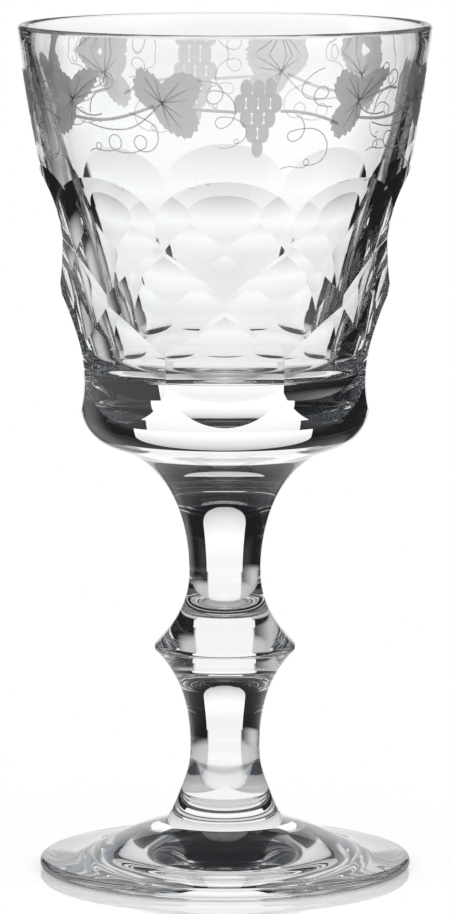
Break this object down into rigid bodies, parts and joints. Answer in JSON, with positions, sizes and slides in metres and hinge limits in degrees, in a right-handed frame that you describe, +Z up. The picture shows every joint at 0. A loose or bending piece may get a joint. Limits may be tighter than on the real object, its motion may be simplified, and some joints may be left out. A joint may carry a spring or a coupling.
{
  "type": "water goblet",
  "caption": "Stemmed water goblet of clear cut crystal: a tapered bowl with staggered round hollows over a heavy base, on a waisted stem with an angular knop and a spreading disc foot.",
  "frame": {"origin": "middle of the foot's underside, on the table that the goblet stands on", "axes": "+Z up along the axis that the goblet is turned about, +X across the bowl between two ridges of the middle row of hollows, and -Y towards the picture's camera"},
  "size_m": [0.085, 0.085, 0.175],
  "materials": {
    "crystal": "polished",
    "etched_crystal": "satin"
  },
  "bodies": {
    "root": {"bowl": "crystal", "upper_stem": "crystal", "knop": "crystal", "lower_stem": "crystal", "foot": "crystal"}
  },
  "joints": []
}
